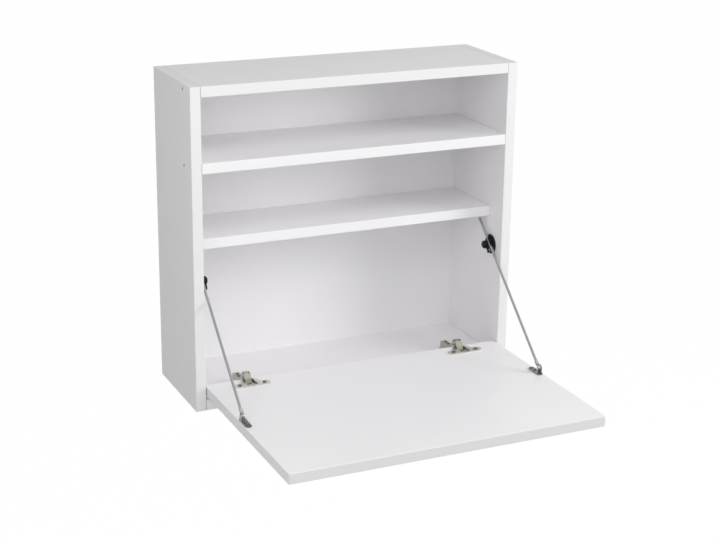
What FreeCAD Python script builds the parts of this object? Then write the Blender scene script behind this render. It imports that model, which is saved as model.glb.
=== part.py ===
import FreeCAD, Part
import math
import os

# Fold down wall desk: an open wall cabinet of white faced board with a flap that folds down
# on two concealed hinges and is held level by two stay cables.
#
# Row frame: x across the cabinet from its middle, y from the wall (y = 0) with the front at
# -overall_depth, z up from the height of the two wall-hanging holes.
# Inside this file a place is given as (x, depth behind the front plane, height above the
# cabinet's underside). y_at and z_at turn depth and height into the row frame.

V = FreeCAD.Vector
RIGHT = V(1, 0, 0)
LEFT = V(-1, 0, 0)
FORWARD = V(0, -1, 0)
UP = V(0, 0, 1)
DOWN = V(0, 0, -1)

# ---- cabinet boards (mm)
overall_width = 600.0
overall_height = 560.0
overall_depth = 190.0
board = 18.0                  # thickness of every faced board
edge_round = 1.0              # rounding of the edge banding
edge_break = 0.8              # chamfer round the flap
back_thickness = 3.0
rebate_width = 6.0            # how far the back laps over each board
back_play = 0.3
upper_shelf_top = 433.0
lower_shelf_top = 290.0
lower_shelf_setback = 46.5
lower_shelf_play = 0.5        # at each end and behind

# ---- joinery
front_row = 37.0              # row of fixings, behind the front plane
row_pitch = 32.0
fit_play = 0.1                # radial play of pins and screws in their holes
screw_head_radius = 5.0       # one-piece furniture screws through the side panels
screw_head_height = 2.5
screw_shank_radius = 3.0
screw_length = 50.0
socket_width = 4.0
socket_depth = 2.0
pin_radius = 2.5              # shelf pins
pin_in_side = 9.0
pin_under_shelf = 9.0
pin_inset = 32.0              # from the lower shelf's front and rear edges

# ---- wall hangers, let into the rear edges of the side panels
hanger_drop = 60.0            # hole centre below the cabinet's top
hanger_edge = 6.0             # hole centre from the side panel's outer face
hanger_hole_radius = 3.5
hanger_width = 11.0
hanger_length = 60.0
hanger_thickness = 2.0
hanger_pocket_radius = 4.5
hanger_pocket_depth = 16.0

# ---- flap
flap_side_gap = 1.5
flap_bottom_gap = 2.0         # closed flap above the bottom panel
finger_gap = 14.0             # closed flap below the upper shelf
flap_corner = 3.0
open_inset = 12.0             # rear edge of the open flap behind the front plane
open_lift = 6.0               # underside of the open flap above the bottom panel

# ---- concealed hinges
hinge_inset = 95.0            # hinge centre from the side panel's outer face
sheet = 1.2                   # steel of arm and link
cup_radius = 17.5
cup_depth = 12.8
cup_wall = 0.8
cup_edge = 3.0                # cup rim from the flap's rear edge
cup_mouth = 19.0              # width of the opening in the cup
cup_flange = 1.0
cup_lip = 1.0                 # rim beyond the bore
wing_length = 66.0
wing_width = 16.0
wing_thickness = 1.8
wing_offset = 9.5             # screw line beyond the cup's centre
mouth_play = 0.8              # cup's mouth ahead of the link when the flap is closed
nose_bite = 5.5               # nose pivot inside the closed flap's inner face
nose_rise = 6.5               # nose pivot above the open flap
nose_radius = 4.2
nose_width = 9.0
arm_width = 12.6
arm_top = 16.0                # top of the arm's rear above the bottom panel
arm_skirt = 4.0               # lower edge of the arm above the bottom panel
arm_rear = 65.0
crank_head = 7.0              # the crank's bends and throat, behind the nose pivot
crank_foot = 20.0
crank_throat = 10.0
crank_land = 7.0              # narrow part of the arm behind the crank
crank_lining = 1.7            # wall of the crank, across its slope
seat_play = 0.02              # press fit of pins and rivets
cup_pin_reach = 7.5           # cup pin from the fold's pole, towards the room when open
link_width = 12.0
link_play = 0.3
link_tip_radius = 3.0
link_overlap = 1.2            # fork tip beyond the cup pin
neck_reach = 7.8              # where the link steps over the cup's rim, from its pivot
neck_inset = 1.9              # inner edge of that neck, towards the room
fork_width = 3.6
hinge_pin_radius = 1.25
cup_pin_radius = 1.0
plate_width = 13.0
plate_thickness = 2.0
plate_overhang = 6.0          # mounting plate beyond its screw rows
rail_width = 9.8

# ---- stay cables, their clamps and brackets
clamp_below_shelf = 51.0      # clamp's axis below the lower shelf
clamp_radius = 17.5
clamp_rim = 2.4
hub_radius = 5.2
cable_radius = 2.3
cable_beside = 6.6            # cable centre from the clamp's axis
tail_gap = 10.5               # end of the cable's tail below the lower shelf
saddle_length = 18.0
saddle_width = 6.6
saddle_clear = 0.6            # saddle below the cable's crown
knob_clear = 0.2              # washer face above it
shank_radius = 2.4
washer_radius = 7.8
washer_thickness = 1.6
shank_inset = 1.2             # end of the knob's shank off the side panel
knob_radius = 6.4
knob_length = 5.5
knob_sides = 10
knob_cap = 1.2
knob_cap_radius = 4.8
lever_root = 4.4              # lever's root inside the knob's grip, from its axis
lever_reach = 18.0
lever_width = 2.6
lever_thickness = 3.0
lever_bow = 2.2
bracket_length = 38.0
bracket_width = 11.0
bracket_thickness = 2.0
bracket_edge = 1.5            # bracket from the flap's side edge
bracket_ear = 10.0
bracket_reach = 7.0           # middle of the strap beyond the ear
pivot_depth = -160.0          # cable pivot on the open flap, ahead of the front plane
pivot_rise = 10.0
eye_radius = 4.6
eye_thickness = 3.2
ferrule_radius = 3.2
ferrule_length = 8.0
ferrule_start = 5.8           # from the pivot
neck_bite = 1.0               # the eye's neck inside the ferrule
rivet_radius = 1.5

# ---- values that follow from the driving dimensions
half_width = overall_width / 2
inner_x = half_width - board
inner_top = overall_height - board
inner_depth = overall_depth - back_thickness
lower_shelf_underside = lower_shelf_top - board
hinge_x = half_width - hinge_inset
upper_shelf_middle = upper_shelf_top - board / 2
closed_edge = board + flap_bottom_gap
flap_underside = board + open_lift
flap_top = flap_underside + board
flap_length = upper_shelf_top - board - finger_gap - closed_edge
flap_half_width = inner_x - flap_side_gap
# The fold's pole is the one point about which a quarter turn takes the closed flap open.
pole_depth = (closed_edge + open_inset - flap_underside) / 2
pole_height = flap_underside + pole_depth
nose_depth = board - nose_bite
nose_height = flap_top + nose_rise
nose_from_pole = (nose_depth - pole_depth, nose_height - pole_height)
# The cup pin is as far from the nose pivot when the flap is open as when it is closed.
cup_pin_drop = cup_pin_reach * (nose_from_pole[1] - nose_from_pole[0]) / sum(nose_from_pole)
cup_pin = (pole_depth - cup_pin_drop, pole_height + cup_pin_reach)
cup_centre = open_inset - cup_edge - cup_radius
link_boss = nose_radius + link_play + sheet
cup_mouth_front = pole_depth - nose_from_pole[1] - link_boss - mouth_play
link_angle = math.atan2(cup_pin[1] - nose_height, cup_pin[0] - nose_depth)
link_length = math.hypot(cup_pin[0] - nose_depth, cup_pin[1] - nose_height)
pin_circle = math.hypot(cup_pin_reach, cup_pin_drop)
link_turn = 2 * math.asin(pin_circle * math.sin(math.radians(45)) / link_length)
bracket_outer_x = flap_half_width - bracket_edge
cable_x = bracket_outer_x - bracket_thickness - eye_thickness / 2
cable_offset = inner_x - cable_x
pivot_height = flap_top + pivot_rise
clamp_depth = front_row
clamp_height = lower_shelf_underside - clamp_below_shelf
clamp_span = math.hypot(clamp_depth - pivot_depth, clamp_height - pivot_height)
cable_slope = math.atan2(clamp_height - pivot_height, clamp_depth - pivot_depth) + math.asin(
    cable_beside / clamp_span
)
cable_run = math.sqrt(clamp_span ** 2 - cable_beside ** 2)
cable_end = (lower_shelf_underside - tail_gap - pivot_height) / math.sin(cable_slope)
TOUCH = 1e-6


# ---------------------------------------------------------------- helpers

def y_at(depth):
    """Row y of a point this far behind the front plane."""
    return depth - overall_depth


def z_at(height):
    """Row z of a point this high above the cabinet's underside."""
    return height - overall_height + hanger_drop


def point(x, depth, height):
    return V(x, y_at(depth), z_at(height))


def block(x_from, x_to, depth_from, depth_to, height_from, height_to):
    sizes = (x_to - x_from, depth_to - depth_from, height_to - height_from)
    return Part.makeBox(*sizes, point(x_from, depth_from, height_from))


def bar(radius, length, start, direction):
    return Part.makeCylinder(radius, length, start, direction)


def turned(profile, start, direction):
    """Solid of revolution from (distance along the axis, radius) pairs."""
    outline = [V(profile[0][0], 0, 0)]
    for along, radius in profile + [(profile[-1][0], 0)]:
        corner = V(along, radius, 0)
        if corner.distanceToPoint(outline[-1]) > TOUCH:
            outline.append(corner)
    solid = Part.Face(Part.makePolygon(outline + outline[:1])).revolve(V(0, 0, 0), RIGHT, 360)
    solid.Placement = FreeCAD.Placement(start, FreeCAD.Rotation(RIGHT, direction))
    return solid


def slab(outline, x_from, x_to):
    """A (depth, height) outline carried across from x_from to x_to."""
    corners = [point(x_from, depth, height) for depth, height in outline]
    face = Part.Face(Part.makePolygon(corners + corners[:1]))
    return face.extrude(V(x_to - x_from, 0, 0))


def round_ended(length, width, centre, thickness, along):
    """Flat plate with half-round ends, lying on centre and growing up from it."""
    across = V(-along.y, along.x, 0)
    straight = (length - width) / 2
    corners = [
        centre + along * (straight * end) + across * (side * width / 2)
        for end, side in ((1, -1), (1, 1), (-1, 1), (-1, -1))
    ]
    wire = Part.Wire([
        Part.Arc(corners[0], centre + along * (length / 2), corners[1]).toShape(),
        Part.makeLine(corners[1], corners[2]),
        Part.Arc(corners[2], centre - along * (length / 2), corners[3]).toShape(),
        Part.makeLine(corners[3], corners[0]),
    ])
    return Part.Face(wire).extrude(V(0, 0, thickness))


def rounded(shape, radius, wanted):
    return shape.makeFillet(radius, [edge for edge in shape.Edges if wanted(edge)])


def lies_at(edge, axis, value):
    return all(abs(getattr(corner, axis) - value) < TOUCH for corner in edge.Vertexes)


def keeps_x(edge):
    """Whether an edge lies in one plane across x."""
    return lies_at(edge, "X", edge.Vertexes[0].X)


def mirrored(shape):
    """The same piece on the other side of the cabinet."""
    return shape.mirror(V(0, 0, 0), RIGHT)


def both_sides(shapes):
    return shapes + [mirrored(shape) for shape in shapes]


def faced_board(x_from, x_to, depth_from, depth_to, height_from, height_to):
    """Board with the long edges of its banded front softened."""
    blank = block(x_from, x_to, depth_from, depth_to, height_from, height_to)
    front = y_at(depth_from)
    return rounded(blank, edge_round, lambda edge: lies_at(edge, "Y", front) and edge.Length > 2 * board)


# ---------------------------------------------------------------- joinery

def panel_screw_places():
    return [(front_row, height) for height in (inner_top + board / 2, upper_shelf_middle)]


def panel_screw(depth, height, play=0.0):
    """One-piece furniture screw, driven in from the side panel's outer face."""
    head_face = point(-half_width, depth, height)
    profile = [
        (0, screw_head_radius + play),
        (screw_head_height, screw_shank_radius + play),
        (screw_length + play, screw_shank_radius + play),
    ]
    return turned(profile, head_face, RIGHT)


def driver_socket(head_face, way):
    """Six-sided socket sunk into a screw's head."""
    reach = socket_width / math.sqrt(3)
    turns = [math.radians(60 * step) for step in range(7)]
    corners = [head_face + V(0, math.cos(turn), math.sin(turn)) * reach for turn in turns]
    return Part.Face(Part.makePolygon(corners)).extrude(way * socket_depth)


def panel_screws():
    screws = []
    for place in panel_screw_places():
        socket = driver_socket(point(-half_width, *place), RIGHT)
        screws.append(panel_screw(*place).cut(socket))
    return Part.makeCompound(both_sides(screws))


def panel_screw_holes():
    return [panel_screw(*place, play=fit_play) for place in panel_screw_places()]


def shelf_pin_places():
    height = lower_shelf_underside - pin_radius
    return [(depth, height) for depth in (lower_shelf_setback + pin_inset, inner_depth - pin_inset)]


def shelf_pin(depth, height, length=pin_in_side + pin_under_shelf):
    """Plain steel peg, half in the side panel and half under the shelf."""
    return bar(pin_radius, length, point(-inner_x - pin_in_side, depth, height), RIGHT)


# ---------------------------------------------------------------- boards

def back_room():
    """The rebate that the back sits in."""
    return block(
        -inner_x - rebate_width, inner_x + rebate_width,
        inner_depth, overall_depth,
        board - rebate_width, inner_top + rebate_width,
    )


def side_panel():
    panel = faced_board(-half_width, -inner_x, 0, overall_depth, 0, overall_height)
    pin_holes = [shelf_pin(*place, length=pin_in_side) for place in shelf_pin_places()]
    return panel.cut(panel_screw_holes() + pin_holes + [back_room(), hanger_blank(), hanger_pocket()])


def top_panel():
    panel = faced_board(-inner_x, inner_x, 0, overall_depth, inner_top, overall_height)
    return panel.cut(both_sides(panel_screw_holes()) + [back_room()])


def bottom_panel():
    return faced_board(-inner_x, inner_x, 0, overall_depth, 0, board).cut(back_room())


def upper_shelf():
    shelf = faced_board(-inner_x, inner_x, 0, inner_depth, upper_shelf_top - board, upper_shelf_top)
    return shelf.cut(both_sides(panel_screw_holes()))


def lower_shelf():
    return faced_board(
        -inner_x + lower_shelf_play, inner_x - lower_shelf_play,
        lower_shelf_setback, inner_depth - lower_shelf_play,
        lower_shelf_underside, lower_shelf_top,
    )


def back_panel():
    half = inner_x + rebate_width - back_play
    low = board - rebate_width + back_play
    high = inner_top + rebate_width - back_play
    return block(-half, half, inner_depth, overall_depth, low, high)


def flap_panel():
    """The writing surface, open: eased front corners, all its edges broken, bored for two cups."""
    front = open_inset - flap_length
    flap = block(-flap_half_width, flap_half_width, front, open_inset, flap_underside, flap_top)
    corners = [edge for edge in flap.Edges if lies_at(edge, "Y", y_at(front)) and edge.Length < 2 * board]
    flap = flap.makeFillet(flap_corner, corners)
    faces = (z_at(flap_underside), z_at(flap_top))
    rims = [edge for edge in flap.Edges if any(lies_at(edge, "Z", face) for face in faces)]
    flap = flap.makeChamfer(edge_break, rims)
    bore = bar(cup_radius, cup_depth, point(-hinge_x, cup_centre, flap_top), DOWN)
    return flap.cut(both_sides([bore]))


# ---------------------------------------------------------------- wall hangers

def hanger_hole(radius, depth):
    return bar(radius, depth, V(hanger_edge - half_width, 0, 0), FORWARD)


def hanger_blank():
    """Round-ended strip standing upright in the side panel's rear edge."""
    plate = round_ended(hanger_length, hanger_width, V(0, 0, 0), hanger_thickness, RIGHT)
    upright = FreeCAD.Rotation(UP, LEFT, FORWARD, "XZY")
    plate.Placement = FreeCAD.Placement(V(hanger_edge - half_width, 0, 0), upright)
    return plate


def hanger_pocket():
    """Room for the head of the wall's fixing behind the plate."""
    return hanger_hole(hanger_pocket_radius, hanger_pocket_depth)


def hanger_plate():
    return hanger_blank().cut(hanger_hole(hanger_hole_radius, hanger_thickness))


# ---------------------------------------------------------------- concealed hinges
# Each hinge is modelled at x = 0 and then carried to its place.

def at_hinge(shape):
    moved = shape.copy()
    moved.translate(V(-hinge_x, 0, 0))
    return moved


def hinge_cup():
    """Drawn steel cup let into the flap, with a round rim and two screw wings."""
    centre = point(0, cup_centre, flap_top)
    shell = bar(cup_radius - fit_play, cup_depth, centre, DOWN)
    rim = bar(cup_radius + cup_lip, cup_flange, centre, UP)
    wings_at = point(0, cup_centre - wing_offset, flap_top)
    wings = round_ended(wing_length, wing_width, wings_at, wing_thickness, RIGHT)
    body = shell.fuse([rim, wings]).removeSplitter()
    room_depth = cup_depth - cup_wall + wing_thickness
    room = bar(cup_radius - fit_play - cup_wall, room_depth, centre + UP * wing_thickness, DOWN)
    half_mouth = cup_mouth / 2
    mouth = block(-half_mouth, half_mouth, cup_mouth_front, open_inset, 0, flap_top + board)
    return at_hinge(body.cut(room.common(mouth)))


def cup_pin_bar():
    """Pin from wall to wall of the cup's mouth that the link's fork reaches round."""
    return at_hinge(bar(cup_pin_radius, cup_mouth, point(-cup_mouth / 2, *cup_pin), RIGHT))


def hinge_arm():
    """Cranked channel from the mounting plate up to the nose that reaches into the cup."""
    top = board + arm_top
    skirt = board + arm_skirt
    crest = nose_height + nose_radius
    keel = nose_height - nose_radius
    head = nose_depth + crank_head
    foot = nose_depth + crank_foot
    throat = nose_depth + crank_throat
    land = foot + crank_land
    outer = [
        (nose_depth, crest), (head, crest), (foot, top), (land, top),
        (land, skirt), (throat + crank_land, skirt), (throat, (skirt + keel) / 2), (nose_depth, keel),
    ]
    nose = bar(nose_radius, nose_width, point(-nose_width / 2, nose_depth, nose_height), RIGHT)
    rear = block(-arm_width / 2, arm_width / 2, foot, arm_rear, skirt, top)
    rear = rounded(rear, sheet, lambda edge: lies_at(edge, "Z", z_at(top)) and keeps_x(edge))
    solid = slab(outer, -nose_width / 2, nose_width / 2).fuse([nose, rear])
    inner = [
        (nose_depth + nose_radius, crest - crank_lining), (head - sheet, crest - crank_lining),
        (foot - sheet, top - sheet), (arm_rear, top - sheet), (arm_rear, board),
        (throat, board), (nose_depth + nose_radius, keel - crank_lining),
    ]
    half_room = nose_width / 2 - sheet
    half_rear = arm_width / 2 - sheet
    rear_room = block(-half_rear, half_rear, foot + sheet, arm_rear, board, top - sheet)
    hollows = [slab(inner, -half_room, half_room), rear_room]
    return at_hinge(solid.cut(hollows + [hinge_pin_bar(play=seat_play)]).removeSplitter())


def hinge_pin_bar(play=0.0):
    """Pin that joins the link to the arm's nose, flush with the link's cheeks."""
    start = point(-link_width / 2, nose_depth, nose_height)
    return bar(hinge_pin_radius + play, link_width, start, RIGHT)


def fork_start():
    """Root of the fork from the link's pivot, where the cup pin comes nearest to it."""
    return math.hypot(*nose_from_pole) - pin_circle - cup_pin_radius - 2 * fit_play


def link_side():
    """Side view of the link along +y from its pivot: a boss, a neck over the rim and a tip."""
    slant = link_boss * math.sqrt(0.5)
    tip = link_length + link_overlap - link_tip_radius
    heel = V(0, 0, -link_boss)
    front = V(0, link_boss, 0)
    tip_low = V(0, tip, -link_tip_radius)
    tip_high = V(0, tip, link_tip_radius)
    neck_low = V(0, neck_reach + sheet, -link_boss)
    neck_high = V(0, neck_reach, -neck_inset)
    shoulder = V(0, fork_start() - sheet / 2, link_tip_radius)
    return Part.Face(Part.Wire([
        Part.Arc(front, V(0, -slant, slant), heel).toShape(),
        Part.makeLine(heel, neck_low),
        Part.makeLine(neck_low, tip_low),
        Part.Arc(tip_low, V(0, tip + link_tip_radius, 0), tip_high).toShape(),
        Part.makeLine(tip_high, shoulder),
        Part.makeLine(shoulder, neck_high),
        Part.makeLine(neck_high, front),
    ]))


def link_room():
    """Side view of the space between the cheeks: open behind the pivot and above the web."""
    far = link_length + link_boss
    floor = sheet - link_boss
    clear = 2 * link_boss
    tip_floor = sheet - link_tip_radius
    outline = [
        (-clear, -clear), (0, -clear), (0, floor), (neck_reach, floor),
        (link_length - link_tip_radius, tip_floor), (far, tip_floor), (far, clear), (-clear, clear),
    ]
    corners = [V(0, along, rise) for along, rise in outline]
    return Part.Face(Part.makePolygon(corners + corners[:1]))


def hinge_link():
    """Goosenecked channel astride the nose whose forked tip reaches round the cup pin."""
    room_width = nose_width + 2 * link_play
    blank = link_side().extrude(V(link_width, 0, 0))
    blank.translate(V(-link_width / 2, 0, 0))
    room = link_room().extrude(V(room_width, 0, 0))
    room.translate(V(-room_width / 2, 0, 0))
    slot = Part.makeBox(link_width, link_length, fork_width, V(-link_width / 2, 0, -fork_width / 2))
    slot.translate(V(0, fork_start(), 0))
    eye = bar(hinge_pin_radius + fit_play, link_width, V(-link_width / 2, 0, 0), RIGHT)
    link = blank.cut([room, slot, eye]).removeSplitter()
    link.rotate(V(0, 0, 0), RIGHT, math.degrees(link_angle))
    link.translate(point(0, nose_depth, nose_height))
    return at_hinge(link)


def mounting_plate():
    """Straight plate on the bottom panel with the rail that carries the arm."""
    rear = front_row + row_pitch
    middle = point(0, (front_row + rear) / 2, board)
    base = round_ended(row_pitch + 2 * plate_overhang, plate_width, middle, plate_thickness, V(0, 1, 0))
    rail = block(
        -rail_width / 2, rail_width / 2,
        front_row + plate_overhang, rear - plate_overhang,
        board, board + arm_top - sheet,
    )
    return at_hinge(base.fuse(rail).removeSplitter())


# ---------------------------------------------------------------- stay clamps and their knobs
# The clamp's axis runs along x from the side panel's inner face.

def stay_point(along):
    """Point on the taut cable's line, this far from its pivot on the flap."""
    depth = pivot_depth + along * math.cos(cable_slope)
    height = pivot_height + along * math.sin(cable_slope)
    return point(-cable_x, depth, height)


def cable_way():
    return V(0, math.cos(cable_slope), math.sin(cable_slope))


def clamp_centre(stand_off=0.0):
    return point(-inner_x + stand_off, clamp_depth, clamp_height)


def along_cable(shape, origin):
    """Turns a shape drawn along +y to the cable's slope and carries it to origin."""
    shape.rotate(V(0, 0, 0), RIGHT, math.degrees(cable_slope))
    shape.translate(origin)
    return shape


def stay_clamp():
    """Plastic disc with a hub for the knob and a grooved saddle for the cable."""
    crown = cable_offset + cable_radius - saddle_clear
    disc = bar(clamp_radius, clamp_rim, clamp_centre(), RIGHT)
    hub = bar(hub_radius, crown, clamp_centre(), RIGHT)
    saddle = Part.makeBox(crown, saddle_length, saddle_width, V(0, -saddle_length / 2, -saddle_width / 2))
    saddle = along_cable(saddle, stay_point(cable_run) - V(cable_offset, 0, 0))
    groove_radius = cable_radius + fit_play
    start = stay_point(cable_run - saddle_length)
    groove = bar(groove_radius, 2 * saddle_length, start, cable_way())
    above = Part.makeBox(crown, 2 * saddle_length, 2 * groove_radius, V(0, 0, -groove_radius))
    bore = bar(shank_radius + fit_play, crown, clamp_centre(shank_inset - fit_play), RIGHT)
    return disc.fuse([hub, saddle]).cut([groove, along_cable(above, start), bore]).removeSplitter()


def clamp_knob():
    """Thumb knob with a washer face that pinches the cable and a short curved lever."""
    face = cable_offset + cable_radius + knob_clear
    neck = face + washer_thickness
    crown = neck + knob_length
    shank = bar(shank_radius, face - shank_inset, clamp_centre(shank_inset), RIGHT)
    washer = bar(washer_radius, washer_thickness, clamp_centre(face), RIGHT)
    rings = [
        knob_ring(stand_off, radius)
        for stand_off, radius in (
            (neck, knob_radius), (crown, knob_radius), (crown + knob_cap, knob_cap_radius)
        )
    ]
    grip = Part.makeLoft(rings, True, True)
    return washer.fuse([shank, grip, clamp_lever(neck)]).removeSplitter()


def knob_ring(stand_off, radius):
    """One many-sided section of the thumb grip."""
    turns = [2 * math.pi * step / knob_sides for step in range(knob_sides + 1)]
    centre = clamp_centre(stand_off)
    return Part.makePolygon([centre + V(0, math.cos(turn), math.sin(turn)) * radius for turn in turns])


def clamp_lever(stand_off):
    """Curved finger that points down along the cable."""
    half = lever_width / 2
    start = lever_root
    tip = lever_reach - half
    middle = (start + tip) / 2
    upper = [V(0, -start, half), V(0, -middle, half + lever_bow), V(0, -tip, half)]
    lower = [V(0, -tip, -half), V(0, -middle, lever_bow - half), V(0, -start, -half)]
    wire = Part.Wire([
        Part.Arc(*upper).toShape(),
        Part.Arc(upper[2], V(0, -lever_reach, 0), lower[0]).toShape(),
        Part.Arc(*lower).toShape(),
        Part.makeLine(lower[2], upper[0]),
    ])
    lever = Part.Face(wire).extrude(V(lever_thickness, 0, 0))
    return along_cable(lever, clamp_centre(stand_off))


# ---------------------------------------------------------------- stay cables and flap brackets

def stay_cable():
    """Sheathed steel cable, taut from its ferrule through the clamp to its free tail."""
    start = ferrule_start + ferrule_length
    return bar(cable_radius, cable_end - start, stay_point(start), cable_way())


def rivet_bar(play=0.0):
    """Rivet through the bracket's ear and the cable's eye, flush with both."""
    length = bracket_thickness + eye_thickness
    return bar(rivet_radius + play, length, point(-bracket_outer_x, pivot_depth, pivot_height), RIGHT)


def half_turned(bracket):
    """The same bracket on the right, where it sits the other way round."""
    turned_bracket = bracket.copy()
    turned_bracket.rotate(point(0, pivot_depth, 0), UP, 180)
    return turned_bracket


def cable_terminal():
    """Ferrule swaged on the cable, with a flat eye on the bracket's pivot."""
    pivot = point(-cable_x, pivot_depth, pivot_height)
    across = V(eye_thickness / 2, 0, 0)
    eye = bar(eye_radius, eye_thickness, pivot - across, RIGHT)
    reach = ferrule_start + neck_bite
    neck = Part.makeBox(eye_thickness, reach, eye_thickness, V(0, 0, -eye_thickness / 2))
    neck = along_cable(neck, pivot - across)
    ferrule = bar(ferrule_radius, ferrule_length, stay_point(ferrule_start), cable_way())
    return eye.fuse([neck, ferrule]).cut(rivet_bar(play=seat_play)).removeSplitter()


def flap_bracket():
    """Round-ended steel strap on the flap with a turned-up ear for the cable's eye near one end."""
    outer = -bracket_outer_x
    centre = point(outer + bracket_width / 2, pivot_depth - bracket_reach, flap_top)
    strap = round_ended(bracket_length, bracket_width, centre, bracket_thickness, V(0, 1, 0))
    half = bracket_ear / 2
    ear = block(
        outer, outer + bracket_thickness,
        pivot_depth - half, pivot_depth + half,
        flap_top, pivot_height,
    )
    crown = bar(half, bracket_thickness, point(outer, pivot_depth, pivot_height), RIGHT)
    return strap.fuse([ear, crown]).cut(rivet_bar(play=seat_play)).removeSplitter()


# ---------------------------------------------------------------- nodes

def nodes():
    """Every sub-part by name. A handed piece is made for the left and mirrored for the right."""
    parts = {
        "top_panel": top_panel(),
        "bottom_panel": bottom_panel(),
        "upper_shelf": upper_shelf(),
        "lower_shelf": lower_shelf(),
        "back_panel": back_panel(),
        "flap_panel": flap_panel(),
        "panel_screws": panel_screws(),
        "shelf_pins": Part.makeCompound(both_sides([shelf_pin(*place) for place in shelf_pin_places()])),
    }
    handed = {
        "side_panel": side_panel(),
        "hanger_plate": hanger_plate(),
        "hinge_cup": hinge_cup(),
        "cup_pin": cup_pin_bar(),
        "hinge_arm": hinge_arm(),
        "hinge_pin": at_hinge(hinge_pin_bar()),
        "hinge_link": hinge_link(),
        "mounting_plate": mounting_plate(),
        "stay_clamp": stay_clamp(),
        "clamp_knob": clamp_knob(),
        "stay_cable": stay_cable(),
        "cable_terminal": cable_terminal(),
        "flap_bracket": flap_bracket(),
        "cable_rivet": rivet_bar(),
    }
    for name, shape in handed.items():
        parts["left_" + name] = shape
        parts["right_" + name] = mirrored(shape)
    parts["right_flap_bracket"] = half_turned(parts["left_flap_bracket"])
    return parts


os.makedirs("parts", exist_ok=True)
for name, shape in nodes().items():
    shape.exportStep("parts/" + name + ".step")
print("fold pole at", V(0, y_at(pole_depth), z_at(pole_height)))
print("link pivot at", V(0, y_at(nose_depth), z_at(nose_height)))
print("link turns", round(math.degrees(link_turn), 4), "degrees as the flap turns 90")
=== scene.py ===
# %% [markdown]
# # A fold down wall desk
# A shallow white cabinet hangs on the wall. Its front flap folds down on two concealed hinges
# and is held level by two stay cables. The solids of every piece arrive ready made, each at its
# place in metres, so this lesson gives them their finishes and adds what solids leave out:
# the heads of screws, nails and rivets, the ribbed grips of the clamps and cables made of many
# rings.

# %% Load the solids
import math

import bmesh
import bpy
from mathutils import Matrix, Vector


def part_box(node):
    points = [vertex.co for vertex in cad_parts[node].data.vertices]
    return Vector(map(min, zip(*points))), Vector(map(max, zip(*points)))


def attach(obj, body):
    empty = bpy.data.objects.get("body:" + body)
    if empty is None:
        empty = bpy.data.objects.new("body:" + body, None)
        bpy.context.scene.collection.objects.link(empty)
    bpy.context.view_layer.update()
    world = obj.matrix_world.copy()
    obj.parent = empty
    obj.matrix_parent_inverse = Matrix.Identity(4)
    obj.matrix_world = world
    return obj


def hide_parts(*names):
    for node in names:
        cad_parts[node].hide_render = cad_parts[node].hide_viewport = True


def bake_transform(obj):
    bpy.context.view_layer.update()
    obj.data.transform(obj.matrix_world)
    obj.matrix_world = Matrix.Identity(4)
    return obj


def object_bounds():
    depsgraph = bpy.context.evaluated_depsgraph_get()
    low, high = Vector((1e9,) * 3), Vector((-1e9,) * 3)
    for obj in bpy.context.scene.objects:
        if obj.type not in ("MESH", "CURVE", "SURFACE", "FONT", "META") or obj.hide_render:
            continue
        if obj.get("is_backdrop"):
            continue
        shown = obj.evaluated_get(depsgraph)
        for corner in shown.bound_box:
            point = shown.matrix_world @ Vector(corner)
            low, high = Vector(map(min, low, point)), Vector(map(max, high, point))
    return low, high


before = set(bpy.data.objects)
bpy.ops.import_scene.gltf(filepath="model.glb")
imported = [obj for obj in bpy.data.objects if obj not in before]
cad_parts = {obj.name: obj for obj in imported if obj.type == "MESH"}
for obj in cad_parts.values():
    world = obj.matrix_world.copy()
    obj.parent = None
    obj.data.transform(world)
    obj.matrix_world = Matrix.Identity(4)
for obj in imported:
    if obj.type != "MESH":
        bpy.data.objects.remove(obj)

cad_low, cad_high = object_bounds()
MM = 0.001
SIDES = ("left", "right")
print("solids from", [round(v, 4) for v in cad_low], "to", [round(v, 4) for v in cad_high])

# %% [markdown]
# ## The camera
# Product pictures are taken with a longish lens a few metres off, so that edges stay nearly
# parallel. We place the camera by its heading, its tilt and a slight roll, and build its matrix
# from the three directions it faces. That keeps each number readable as a real angle.

# %% Camera
camera_place = Vector((-1.0948, -2.5733, 0.5789))
heading = math.radians(-24.651)
tilt_down = math.radians(18.194)
roll = math.radians(0.716)


def camera_axes():
    """Right, up and forward directions of the camera."""
    right = Vector((math.cos(heading), math.sin(heading), 0))
    level = Vector((-math.sin(heading), math.cos(heading), 0))
    forward = level * math.cos(tilt_down) - Vector((0, 0, 1)) * math.sin(tilt_down)
    up = Vector((0, 0, 1)) * math.cos(tilt_down) + level * math.sin(tilt_down)
    rolled_right = right * math.cos(roll) + up * math.sin(roll)
    rolled_up = up * math.cos(roll) - right * math.sin(roll)
    return rolled_right, rolled_up, forward


camera_data = bpy.data.cameras.new("camera")
camera_data.lens = 80.07
camera_data.sensor_width = 36
camera_data.clip_end = 50
camera = bpy.data.objects.new("camera", camera_data)
bpy.context.scene.collection.objects.link(camera)
right, up, forward = camera_axes()
facing_matrix = Matrix((right, up, -forward)).transposed().to_4x4()
camera.matrix_world = Matrix.Translation(camera_place) @ facing_matrix
bpy.context.scene.camera = camera
bpy.context.scene.view_settings.view_transform = "Standard"
desk_middle = (cad_low + cad_high) / 2
print("camera", round((camera_place - desk_middle).length, 2), "m from the desk")

# %% [markdown]
# ## Floor, world and lamps
# The desk hangs with its flap at table height, so the floor is well below it. The world and
# the floor look white to the camera, but they light the desk only at a plain level. Three soft
# lamps stand in front. The strongest is far out on the right, so that the cabinet's right wall
# shades the compartments beside it. A high one in front lights the shelves from above, and one
# on the left lifts the side panel.

# %% World
def set_input(links, socket, value):
    """Gives an input a plain value, or a link where the value is another node's output."""
    if isinstance(value, bpy.types.NodeSocket):
        links.new(value, socket)
    else:
        socket.default_value = value


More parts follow.
